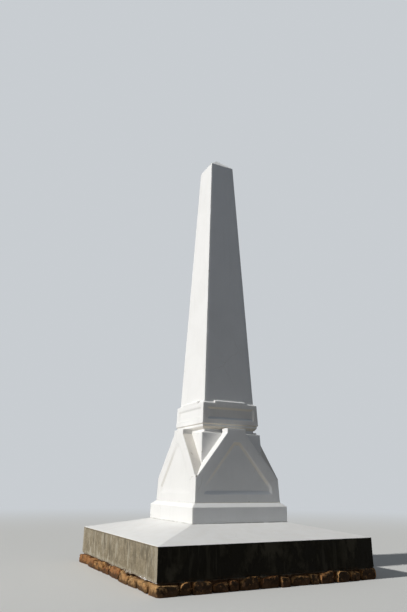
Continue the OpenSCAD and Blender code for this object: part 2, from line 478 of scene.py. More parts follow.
def add_collar():
    """The collar, with a chamfered sunk panel on each side: its depth eases in over the chamfer from
    the nearest edge of the panel."""
    (half, low, high), (floor_half, floor_low, floor_high), panel_depth = collar_panel()

    def pocket(across, height):
        shares = (
            (half - across) / (half - floor_half), (height - low) / (floor_low - low),
            (high - height) / (high - floor_high),
        )
        return panel_depth * eased_ramp(np.minimum.reduce(shares))

    steps = np.linspace(0.0, 1.0, PANEL_CHAMFER_STEPS + 1)
    cuts = half + (floor_half - half) * steps
    rows = np.concatenate([low + (floor_low - low) * steps, high + (floor_high - high) * steps])
    square_piece("collar", bends=[sizes().ledge_arris] * 3, cuts=cuts, rows=rows, pocket=pocket)


# Strips with mitred ends

MITRE_STEPS = 3


def arris_stations(half, radius, angles, count):
    """Places along x with a round arris at each end: evenly spaced on the flat, then the flat's end
    plus the radius times the sine of each angle. Gives them and how far each one is drawn back,
    which is the radius times 1 less the cosine."""
    flat = half - radius
    bend = flat + radius * np.sin(angles)
    drawn = radius * (1 - np.cos(angles))
    x = np.concatenate([-bend[::-1], np.linspace(-flat, flat, count), bend])
    return x, np.concatenate([drawn[::-1], np.zeros(count), drawn])


def strip_piece(name, side, section, radius, work, spacing, finish, replaced=()):
    """A closed section of [depth, height] points carried along one side of the plinth, with half a
    round arris at each end. A point's reach is what its depth leaves of the half width, and its x is
    its station's share of that reach, so both ends lie on the mitre planes. work takes the points
    and their depths and heights, and gives the worn depths and heights."""
    half = wall_half()
    count = math.ceil(2 * (half - radius) / spacing) + 1
    x, back = arris_stations(half, radius, arc_angles(math.pi / 4, MITRE_STEPS)[1:], count)
    share = x / (half - back)
    depth = section[:, 0] + back[:, None]
    height = np.broadcast_to(section[:, 1], depth.shape)

    def placed(depth, height):
        reach = half - depth
        return turned(np.stack([share[:, None] * reach, -reach, height], axis=-1), SIDES.index(side))

    depth, height = work(placed(depth, height), depth, height)
    faces = capped_faces(*depth.shape)
    add_piece(name, placed(depth, height), faces, finish, replaced)


RAGGED_CELL = 0.22
RAGGED_SEED = 31
RAGGED_RISE = 0.11
ROUGHCAST = 0.006
ROUGHCAST_CELL = 0.07
ROUGHCAST_SEED = 37
ROUGHCAST_START = 0.02
ROUGHCAST_RISE = 0.07
WALL_STATION = 0.02
WALL_ROW = 0.03


def add_wall(side):
    """A plinth wall: an upright section with a rounded foot. Its face stands out by the waves, and
    low down also by a finer noise, as rough-cast. Its lower edge rises and falls by a noise in
    plan, which fades out upwards."""
    node = "wall_" + side
    foot, head = foot_of(node), top_of(node)
    edge, back = sizes().wall_arris, wall_thickness()
    outer = rounded([(back, foot), (0.0, foot), (0.0, head)], [edge])
    section = np.concatenate([filled(outer[1:], WALL_ROW), [(back, head), (back, foot)]])

    def work(points, depth, height):
        low = 1 - smooth_step(foot, foot + RAGGED_RISE, height)
        ragged = sizes().ragged * rough_noise(points * IN_PLAN, RAGGED_CELL, RAGGED_SEED)
        cast = 1 - smooth_step(foot + ROUGHCAST_START, foot + ROUGHCAST_RISE, height)
        rough = ROUGHCAST * rough_noise(points, ROUGHCAST_CELL, ROUGHCAST_SEED, octaves=2) * cast
        face = depth < back / 2
        arris = np.abs(np.abs(points[..., 0]) - np.abs(points[..., 1])) < 2 * edge
        worn = depth - (wave_at(points) + rough - knock_at(points) * arris) * face
        return worn, height + ragged * low * face

    strip_piece(node + "_render", side, section, edge, work, WALL_STATION, slot_of(node), (node,))


FIELD_STEP = 0.08
FIELD_SEAT = 0.004
FIELD_EDGE_BAND = 0.02
FIELD_WAVE = 1.5
FIELD_WAVE_REACH = 0.3


def add_field(side):
    """One white field of the plinth's hipped top: a low upright edge over the wall, a round arris
    and the slope up to the base course. The edge stands out by the waves, and the slope rises by
    them, more and more away from the arris."""
    node = "field_" + side
    foot, head = foot_of(node), top_of(node)
    inner = wall_half() - half_of("base_course")
    outer = [(0.0, foot), (0.0, field_arris_level()), (inner, head)]
    outer = rounded(outer, [sizes().field_arris])
    seat = inner + FIELD_SEAT
    section = np.concatenate([filled(outer, FIELD_STEP), [(seat, head), (seat, foot)]])

    def work(points, depth, height):
        edge = depth < FIELD_EDGE_BAND
        slope = smooth_step(0.0, FIELD_WAVE_REACH, depth) * (height > foot + FACE_TOLERANCE)
        worn = depth - (wave_at(points) - knock_at(points)) * edge
        return worn, height + FIELD_WAVE * wave_at(points) * slope

    arris = sizes().wall_arris
    strip_piece(node + "_screed", side, section, arris, work, FIELD_STEP, "limewash", (node,))


# Gabled slabs

GABLE_SEGMENTS = (22, 8, 14, 3, 6, 3, 14, 8)
GABLE_CHAMFER_BEND = 0.2
GABLE_CHAMFER_STEP = 0.25
GABLE_RAKE_STEPS = 4
GABLE_CORE_STEPS = 3
MITRE_TOLERANCE = 1e-6


def gable_corners():
    """The corners of the front gable's outline, of its sunk panel and of the panel's floor, each
    from the foot on the right up to the head, as [x, height], then the panel's depth and the
    slab's thickness. The depths are taken back from the slab's leaning front."""
    points = corner_points("gable_front")
    points = points[points[:, 0] > 0]
    depth = points[:, 1] + half_of("gable_front") - die_lean() * (points[:, 2] - foot_of("gable_front"))
    on_face = points[np.abs(depth) < FACE_TOLERANCE][:, [0, 2]]
    sunk = (depth > FACE_TOLERANCE) & (depth < PANEL_DEEPEST)
    on_floor = points[sunk][:, [0, 2]]
    foot, panel_foot, panel_shoulder, shoulder, panel_head, end, top = on_face
    outline = np.array([foot, shoulder, end, top])
    panel = np.array([panel_foot, panel_shoulder, panel_head, panel_head])
    floor = np.array([*on_floor, on_floor[-1]])
    return outline, panel, floor, depth[sunk].mean(), depth.max()


def die_lean():
    """How far the gables lean in for each metre of height."""
    low, high = profile_of("die_core")[:2]
    return (low[0] - high[0]) / (high[1] - low[1])


def mirrored(corners):
    """Right-hand corners from the foot up, followed by the left-hand ones from the head down."""
    return np.concatenate([corners, corners[::-1] * (-1, 1)])


def inset(corners, distance):
    """A closed outline moved inwards: each side shifted by the distance, and crossed anew with the
    one before it."""
    along = np.roll(corners, -1, axis=0) - corners
    normal = np.stack([-along[:, 1], along[:, 0]], axis=-1) / np.linalg.norm(along, axis=1)[:, None]
    before = np.roll(normal, 1, axis=0)
    return corners + distance * (normal + before) / (1 + (normal * before).sum(-1, keepdims=True))


def add_gable(side):
    """A gabled slab: rings of points from the middle of its sunk panel out over the chamfer, the
    face and the round arris, then back along the rakes to the valleys, the mitres and the core.
    Each ring has a plan, between two outlines, and a depth behind the slab's front."""
    *corners, panel_depth, slab = gable_corners()
    outline, panel, floor = (mirrored(line) for line in corners)
    radius = sizes().arris
    middle = np.tile([0.0, floor[:, 1].mean()], (len(floor), 1))
    keys = np.stack([middle, floor, panel, inset(outline, radius)])
    depth_line = rounded([(0, panel_depth), (1, panel_depth), (2, 0), (3, 0)], [GABLE_CHAMFER_BEND] * 2)
    depth_line = filled(depth_line, GABLE_CHAMFER_STEP)
    places = depth_line[:, 0]
    below = np.minimum(places.astype(int), len(keys) - 2)
    part = (places - below)[:, None, None]
    face = keys[below] * (1 - part) + keys[below + 1] * part
    angle = arc_angles()[1:]
    arc = np.stack([inset(outline, radius * (1 - math.sin(a))) for a in angle])
    to_valley = np.linspace(0, 1, GABLE_RAKE_STEPS + 1)[1:, None]
    to_core = np.linspace(0, 1, GABLE_CORE_STEPS + 1)[1:, None]
    sides = np.repeat(outline[None], GABLE_RAKE_STEPS + GABLE_CORE_STEPS, axis=0)
    corners = np.concatenate([face, arc, sides])
    closed = [corners[:, k] for k in range(corners.shape[1])] + [corners[:, 0]]
    plan = spread(closed, GABLE_SEGMENTS)[:-1].transpose(1, 0, 2)
    x, z = plan[..., 0], plan[..., 1]
    front = half_of("gable_front") - die_lean() * (z - foot_of("gable_front"))
    valley = np.clip(front - np.abs(x), radius, slab)[-1]
    flat_depth = np.concatenate([depth_line[:, 1], radius * (1 - np.cos(angle))])
    depth = np.concatenate([
        np.repeat(flat_depth[:, None], x.shape[1], axis=1),
        radius + (valley - radius) * to_valley, valley + (slab - valley) * to_core,
    ])
    mitred = np.abs(x) >= front - depth - MITRE_TOLERANCE
    turns = SIDES.index(side)

    def placed(depth):
        reach = front - depth
        across = np.where(mitred, np.sign(x) * reach, x)
        return turned(np.stack([across, -reach, z], axis=-1), turns)

    points = placed(depth)
    rings = len(flat_depth)
    weight = np.ones(depth.shape)
    weight[rings:] = mitred[rings:]
    arris = np.zeros(depth.shape)
    arris[len(depth_line) - 1 : rings + 1] = 1.0
    worn = depth - wave_at(points) * weight + knock_at(points) * arris
    add_piece(
        "gable_" + side + "_slab", placed(worn), capped_faces(*depth.shape), "limewash",
        ("gable_" + side,), marks={"arris": arris},
    )


# Crest blocks

CREST_STATIONS = 18


def add_crest(side):
    """A crest block: its section of [distance from the axis, height] carried along x, drawn in
    round a quarter circle at each end."""
    node = "crest_" + side
    points = corner_points("crest_front")
    section = np.unique(np.abs(points[:, [1, 2]]), axis=0)
    middle = section.mean(axis=0)
    order = np.argsort(np.arctan2(section[:, 1] - middle[1], section[:, 0] - middle[0]))
    section = section[order]
    radius = sizes().ledge_arris
    half = np.abs(points[:, 0]).max()
    x, draw = arris_stations(half, radius, arc_angles()[1:], CREST_STATIONS)
    section = rounded(np.concatenate([section, section[:2]]), [radius] * len(section))[1:-1]
    outward = section - middle
    outward /= np.linalg.norm(outward, axis=-1, keepdims=True)
    loops = section - draw[:, None, None] * outward
    across = np.broadcast_to(x[:, None], loops.shape[:2])
    points = turned(np.stack([across, -loops[..., 0], loops[..., 1]], axis=-1), SIDES.index(side))
    add_piece(node + "_block", points, capped_faces(*points.shape[:2]), "limewash", (node,))


# Footing

STONE_RINGS = 28
STONE_STATIONS = 40
STONE_CROWDING = 1.25
STONE_SHARPNESS = 26.0
STONE_CUTS = 8
STONE_CUT_REACHES = (0.72, 1.0)
STONE_CUT_SLANTS = (0.05, 1.0)
STONE_TILT = 0.16
STONE_LEAN = 0.24
STONE_WIDTHS = (0.45, 1.6)
STONE_COUNT = {"front": 13, "right": 9, "back": 13, "left": 9}
STONE_SUNK = 0.07
STONE_HEIGHTS = (0.125, 0.198)
STONE_PROUD = (0.014, 0.054)
CORNER_PROUD = 0.032
STONE_ROUGH = 0.018
STONE_ROUGH_CELL = 0.12
STONE_ROUGH_SEED = 51
STONE_SEED = 101
PIN_COUNT = 14
PIN_STRAY = 0.02
PIN_SET_BACK = (-0.01, 0.02)
PIN_SMALLEST = (0.028, 0.050, 0.018)
PIN_LARGEST = (0.060, 0.070, 0.036)
PIN_LEVELS = (0.03, 0.15)
PIN_LEAN = 0.4


def rough_blocks(rng, halves, left_lean, right_lean):
    """Rough squared stones about the origin, one for each row of half sizes. A sphere's directions,
    stretched by the half sizes, are each scaled by the p-norm of their shares of a set of planes'
    reaches, to the power of -1. That gives the block between the planes, with softened edges. Six
    planes are the sides, and the rest cut corners of the face. The grid's poles are the middles of
    the face and of the back."""
    count, gap = len(halves), sizes().joint / 2
    polar = math.pi * np.linspace(0.0, 1.0, STONE_RINGS)[:, None] ** STONE_CROWDING
    around = circle_angles(STONE_STATIONS)
    sphere = np.stack([
        np.sin(polar) * np.cos(around), -np.cos(polar) + 0 * around, np.sin(polar) * np.sin(around),
    ], axis=-1)
    directions = sphere * halves[:, None, None]
    none, one = np.zeros(count), np.ones(count)
    tilt = rng.uniform(-STONE_TILT, STONE_TILT, (3, count))
    sides = np.array([
        [np.cos(right_lean), none, -np.sin(right_lean)],
        [-np.cos(left_lean), none, np.sin(left_lean)],
        [tilt[0], none, one],
        [none, none, -one],
        [tilt[1], -one, tilt[2]],
        [none, one, none],
    ]).transpose(2, 0, 1)
    side_reach = halves[:, [0, 0, 2, 2, 1, 1]] - np.array([gap, gap, 0, 0, 0, 0])
    sign = rng.choice([-1.0, 1.0], (count, STONE_CUTS, 3)) * (1, 0, 1) - (0, 1, 0)
    cuts = sign * rng.uniform(*STONE_CUT_SLANTS, sign.shape) / halves[:, None]
    cuts /= np.linalg.norm(cuts, axis=-1, keepdims=True)
    cut_reach = (np.abs(cuts) * halves[:, None]).sum(-1)
    cut_reach *= rng.uniform(*STONE_CUT_REACHES, (count, STONE_CUTS))
    planes = np.concatenate([sides, cuts], axis=1)
    reaches = np.concatenate([side_reach, cut_reach], axis=1)
    share = np.einsum("nrsk,npk->nrsp", directions, planes) / reaches[:, None, None]
    total = (np.clip(share, 0.0, None) ** STONE_SHARPNESS).sum(-1)
    return directions * total[..., None] ** (-1 / STONE_SHARPNESS)


def course_of_stones(side, rng):
    """The middles, half sizes and leaning ends of one side's stones, and their joints. The course
    starts on the left-hand corner and stops at the next side's corner stone. Neighbours share a
    joint's lean."""
    wall, depth, count = wall_half(), sizes().stone_depth, STONE_COUNT[side]
    start, end = -wall - CORNER_PROUD, wall + CORNER_PROUD - depth - sizes().joint
    widths = rng.uniform(*STONE_WIDTHS, count)
    joints = start + (end - start) * np.concatenate([[0.0], np.cumsum(widths) / widths.sum()])
    leans = rng.uniform(-STONE_LEAN, STONE_LEAN, count + 1)
    leans[0] = 0.0
    heights = rng.uniform(*STONE_HEIGHTS, count)
    proud = rng.uniform(*STONE_PROUD, count)
    proud[0] = CORNER_PROUD
    middles = np.column_stack([
        (joints[1:] + joints[:-1]) / 2, depth / 2 - wall - proud, (heights - STONE_SUNK) / 2,
    ])
    halves = np.column_stack([
        np.diff(joints) / 2, np.full(count, depth / 2), (heights + STONE_SUNK) / 2,
    ])
    return middles, halves, leans[:-1], leans[1:], joints


def pinning_stones(joints, rng):
    """The middles, half sizes and leaning ends of small stones wedged into a course's joints."""
    places = rng.choice(joints[1:-1], PIN_COUNT) + rng.normal(0.0, PIN_STRAY, PIN_COUNT)
    set_back = rng.uniform(*PIN_SET_BACK, PIN_COUNT)
    halves = rng.uniform(PIN_SMALLEST, PIN_LARGEST, (PIN_COUNT, 3))
    levels = rng.uniform(*PIN_LEVELS, PIN_COUNT)
    middles = np.column_stack([places, halves[:, 1] - wall_half() + set_back, levels])
    left_lean, right_lean = rng.uniform(-PIN_LEAN, PIN_LEAN, (2, PIN_COUNT))
    return middles, halves, left_lean, right_lean


def add_stones(side):
    """One side's course of footing stones, with small pinning stones in its joints. Each point
    moves out from its stone's middle by a noise, and is then held within the CAD footing."""
    rng = np.random.default_rng(STONE_SEED + SIDES.index(side))
    *stones, joints = course_of_stones(side, rng)
    pins = pinning_stones(joints, rng)
    middles, halves, left_lean, right_lean = (np.concatenate(pair) for pair in zip(stones, pins))
    shapes = rough_blocks(rng, halves, left_lean, right_lean)
    outward = shapes / np.linalg.norm(shapes, axis=-1, keepdims=True)
    points = shapes + middles[:, None, None]
    rough = STONE_ROUGH * rough_noise(points, STONE_ROUGH_CELL, STONE_ROUGH_SEED)
    points = points + outward * rough[..., None]
    half, head = half_of("footing_right"), top_of("footing_right")
    points = np.clip(points, (-half, -half, 0.0), (half, half, head))
    count, size = len(middles), STONE_RINGS * STONE_STATIONS
    faces = grid_faces(STONE_RINGS, STONE_STATIONS) + size * np.arange(count)[:, None, None]
    add_piece(
        "footing_" + side + "_stones", turned(points, SIDES.index(side)),
        faces.reshape(-1, 4).tolist(), "rubble", ("footing_" + side,),
        marks={"tone": np.repeat(rng.random(count), size)},
    )


BEDDING_STEP = 0.035
BEDDING_RISE = 0.02
BEDDING_ROUGH = 0.022
BEDDING_CELL = 0.12
BEDDING_SEED = 61
BEDDING_STATION = 0.04
MORTAR_ARRIS = 0.01


def add_bedding(side):
    """Mortar and earth behind and between the stones: an oblong section whose face stands out by a
    noise."""
    foot, head = foot_of("footing_right"), top_of("footing_right") + BEDDING_RISE
    face, back = sizes().bedding_back, wall_thickness()
    section = filled([(back, foot), (face, foot), (face, head), (back, head)], BEDDING_STEP)

    def work(points, depth, height):
        front = depth < back - BEDDING_STEP
        return depth - BEDDING_ROUGH * rough_noise(points, BEDDING_CELL, BEDDING_SEED) * front, height

    strip_piece(
        "bedding_" + side, side, section, MORTAR_ARRIS, work, BEDDING_STATION, "mortar",
        ("footing_" + side,),
    )


HAUNCH_SIDES = 12
HAUNCH_STEP = 0.02
HAUNCH_DEPTH = 0.014
HAUNCH_LEAST = 0.010
HAUNCH_TALL = 0.045
HAUNCH_DROP = 0.3
LUMP_CELL = 0.24
LUMP_SEED = 71
LUMP_LEVEL = 0.05
FINE_LUMP_CELL = 0.07
FINE_LUMP_SEED = 73
FINE_LUMP_OUT = 0.35
FINE_LUMP_TALL = 0.3


def add_haunch(side):
    """Mortar squeezed out under the render: a round strip whose thickness comes and goes, with slow
    lumps and a share of fine ones."""
    angle = circle_angles(HAUNCH_SIDES)
    section = np.tile([HAUNCH_DEPTH, top_of("footing_right")], (HAUNCH_SIDES, 1))

    def work(points, depth, height):
        lump = rough_noise(points * IN_PLAN, LUMP_CELL, LUMP_SEED, octaves=2)
        fine = smooth_noise(points * IN_PLAN, FINE_LUMP_CELL, FINE_LUMP_SEED)
        out = np.clip(lump + FINE_LUMP_OUT * fine - LUMP_LEVEL, 0.0, 1.0)
        out = HAUNCH_LEAST + sizes().haunch * out
        tall = HAUNCH_LEAST + HAUNCH_TALL * np.clip(lump + FINE_LUMP_TALL * fine, 0.0, 1.0)
        return depth - out * np.cos(angle), height + tall * (np.sin(angle) - HAUNCH_DROP)

    strip_piece(
        "haunch_" + side, side, section, MORTAR_ARRIS, work, HAUNCH_STEP, "mortar",
    )


# Mortar left in a notch

FILL_STATIONS = 48
FILL_LEVELS = 16
FILL_SQUARENESS = 6
FILL_SET_BACK = 0.005
FILL_BED = 0.025
FILL_ROUGH = 0.004
FILL_ROUGH_CELL = 0.03
FILL_SEED = 83
FILL_PITS = ((0.020, 0.036), (0.018, 0.010))
FILL_PIT_RADIUS = 0.016
FILL_PIT_DEPTH = 0.012


def add_notch_fill():
    """A plug of mortar in the foot of the notch at the front's left corner. At each level its plan
    is a rounded square, just behind both faces and as wide as the notch is there, so it ends in
    the rakes of the two gables. Two pits are pressed into its front, and marked so that the
    limewash paints them earth-dark as painted shade."""
    foot, shoulder, end, _ = gable_corners()[0]
    slope = (end[1] - shoulder[1]) / (shoulder[0] - end[0])
    rise = np.linspace(-FILL_BED, sizes().notch_fill, FILL_LEVELS)
    level = shoulder[1] + rise
    face = half_of("gable_front") - die_lean() * (level - foot[1])
    width = FILL_BED + np.clip(rise, 0.0, None) / slope
    angle = circle_angles(FILL_STATIONS)
    circle = np.stack([np.cos(angle), np.sin(angle)], axis=-1)
    square = circle / np.linalg.norm(circle, FILL_SQUARENESS, axis=-1, keepdims=True)
    plan = (FILL_SET_BACK - face)[:, None, None] + width[:, None, None] / 2 * (1 + square)
    points = np.concatenate([plan, np.broadcast_to(level[:, None, None], plan[..., :1].shape)], axis=-1)
    inward = np.column_stack([-square, np.zeros(len(square))])
    rough = FILL_ROUGH * (1 + rough_noise(points, FILL_ROUGH_CELL, FILL_SEED)) / 2
    points = points + rough[..., None] * inward
    from_corner = points[..., 0] + face[:, None]
    pits = [np.hypot(from_corner - across, rise[:, None] - above) for across, above in FILL_PITS]
    pit = smooth_step(FILL_PIT_RADIUS, FILL_PIT_RADIUS / 2, np.minimum.reduce(pits)) * (square[:, 1] < 0)
    points[..., 1] += FILL_PIT_DEPTH * pit
    add_piece("notch_mortar", points, capped_faces(*pit.shape), "limewash", marks={"pit_shade": pit})


# Finishes


def arithmetic(operation, reflected=False):
    """A method for values that adds a Math node, with the value as its first or second number."""

    def method(self, other=0.0):
        first, second = (other, self) if reflected else (self, other)
        return self.shader.node("ShaderNodeMath", {0: first, 1: second}, operation=operation)

    return method


class Value:
    """An output socket of a shader. Arithmetic on it adds Math nodes."""

    def __init__(self, shader, socket):
        self.shader = shader
        self.socket = socket

    __add__ = arithmetic("ADD")
    __radd__ = arithmetic("ADD", reflected=True)
    __sub__ = arithmetic("SUBTRACT")
    __rsub__ = arithmetic("SUBTRACT", reflected=True)
    __mul__ = arithmetic("MULTIPLY")
    __rmul__ = arithmetic("MULTIPLY", reflected=True)
    __abs__ = arithmetic("ABSOLUTE")
    lowest = arithmetic("MINIMUM")
    highest = arithmetic("MAXIMUM")


# The Mix node's colour sockets, by number, because its other sockets have the same names

MIX_FIRST = 6
MIX_SECOND = 7
MIX_RESULT = 2


class Shader:
    """A tree of shader nodes, and what builds them."""

    def __init__(self, tree):
        self.tree = tree

    def feed(self, socket, value):
        """Links a value to a socket, or sets a plain one on it."""
        if isinstance(value, Value):
            self.tree.links.new(value.socket, socket)
        else:
            socket.default_value = value

    def node(self, kind, inputs, output=0, **settings):
        """A new node: its settings first, then its inputs as values or links. Gives one output."""
        made = self.tree.nodes.new(kind)
        for name, value in settings.items():
            setattr(made, name, value)
        for name, value in inputs.items():
            self.feed(made.inputs[name], value)
        return Value(self, made.outputs[output])

    def along(self, vector, axis):
        """A vector's part along one axis."""
        return self.node("ShaderNodeSeparateXYZ", {0: vector}, axis)

    def ramp(self, value, low, high, to_low=0.0, to_high=1.0):
        """The value's range from low to high, smoothly carried to another range and held there."""
        ranges = {"Value": value, "From Min": low, "From Max": high, "To Min": to_low, "To Max": to_high}
        return self.node("ShaderNodeMapRange", ranges, interpolation_type="SMOOTHSTEP")

    def mix(self, share, first, second):
        """Two colours mixed, each a triple or a value."""
        first, second = (c if isinstance(c, Value) else (*c, 1.0) for c in (first, second))
        inputs = {0: share, MIX_FIRST: first, MIX_SECOND: second}
        return self.node("ShaderNodeMix", inputs, MIX_RESULT, data_type="RGBA")

    def coats(self, base, *layers):
        """A colour under coats, each a share and a colour, mixed one after the other."""
        for share, coat in layers:
            base = self.mix(share, base, coat)
        return base

    def seen(self):
        """1 for rays that show the backdrop: from the camera, in gloss and through glass."""
        rays = ("Is Camera Ray", "Is Glossy Ray", "Is Transmission Ray")
        eye, gloss, glass = (self.node("ShaderNodeLightPath", {}, ray) for ray in rays)
        return eye.highest(gloss).highest(glass)


class Finish(Shader):
    """A material with one Principled surface, and the patterns that its nodes paint."""

    def __init__(self, name, specular, roughness=0.85):
        self.material = bpy.data.materials.new(name)
        self.material.use_nodes = True
        super().__init__(self.material.node_tree)
        self.surface = self.tree.nodes["Principled BSDF"]
        self.feed(self.surface.inputs["Specular IOR Level"], specular)
        self.feed(self.surface.inputs["Roughness"], roughness)
        self.place = self.node("ShaderNodeTexCoord", {}, "Object")
        self.x, self.y, self.z = (self.along(self.place, axis) for axis in "XYZ")

    def noise(self, scale, detail=3.0, roughness=0.5, tall=1.0, seed=0.0):
        """Noise over the piece, about 0.5 and rarely past 0.3 or 0.7. It is drawn out in height by a
        tall under 1, which multiplies Z first."""
        moves = {"Vector": self.place, "Location": (seed, -seed, 2 * seed), "Scale": (1, 1, tall)}
        place = self.node("ShaderNodeMapping", moves)
        inputs = {"Vector": place, "Scale": scale, "Detail": detail, "Roughness": roughness}
        return self.node("ShaderNodeTexNoise", inputs)

    def warped(self, amount, scale):
        """The place, moved by a noise of that scale."""
        stir = self.node("ShaderNodeTexNoise", {"Vector": self.place, "Scale": scale}, "Color")
        centred = self.node("ShaderNodeVectorMath", {0: stir, 1: (0.5,) * 3}, operation="SUBTRACT")
        moved = self.node("ShaderNodeVectorMath", {0: centred, "Scale": amount}, operation="SCALE")
        return self.node("ShaderNodeVectorMath", {0: self.place, 1: moved}, operation="ADD")

    def cells(self, place, scale, feature="F1"):
        """Distance from the middles, or from the edges, of a pattern of random cells."""
        return self.node("ShaderNodeTexVoronoi", {"Vector": place, "Scale": scale}, feature=feature)

    def near(self, value, target, reach):
        """1 where the value is the target, down to 0 at that reach to either side."""
        return 1 - self.ramp(abs(value - target), 0.0, reach)

    def mark(self, name):
        """A number that the piece's mesh holds at each point."""
        return self.node("ShaderNodeAttribute", {}, "Fac", attribute_name=name)

    def facing(self, axis):
        """How far the surface faces along one axis, from -1 to 1."""
        return self.along(self.node("ShaderNodeNewGeometry", {}, "Normal"), axis)

    def front_or_back(self, blend):
        """1 on the front and the back and 0 on the other sides, blended over that width."""
        return self.ramp(abs(self.y) - abs(self.x), 0.0, blend)

    def streaks(self, scale, tall, seed, gathering=(0.40, 0.58)):
        """Upright streaks from 0 to 1: a noise squeezed across and drawn out in height, under a slow
        one that gathers them. The gathering is that one's range from no streak to all of them."""
        lines = self.noise(scale, roughness=0.6, tall=tall, seed=seed)
        slow = self.noise(1.6, detail=2.0, tall=0.8, seed=seed + 7)
        return self.ramp(lines, 0.50, 0.62) * self.ramp(slow, *gathering)

    def done(self, base, roughness, height, relief):
        """Feeds the varying inputs, and gives the material. The height, from 0 to 1, bends the
        surface's direction as if it stood that many metres high at 1."""
        bump = self.node("ShaderNodeBump", {"Height": height, "Distance": relief})
        inputs = {"Base Color": base, "Roughness": roughness, "Normal": bump}
        for socket, value in inputs.items():
            self.feed(self.surface.inputs[socket], value)
        return self.material


# Levels and widths of the marks on the limewash, and the laps' distances from the fields' arris

SHADE_BLEND = 0.02
DUST_AND_SHADE_LEVELS = (3.4, 1.3)
SILL_LEVELS = (1.30, 1.35)
SHAFT_SHADE_LEVELS = (3.28, 3.36)
COLLAR_SHADE_LEVEL = 3.06
COLLAR_SHADE_REACH = 0.42
SEAM_WIDTH = 0.030
SEAM_HEIGHT = 0.018
CRACK_WIDTHS = (0.001, 0.003)
LAP_DEPTHS = (0.030, 0.020)
LAP_DROPS = (-0.001, 0.002)
LAP_WANDER = 0.006


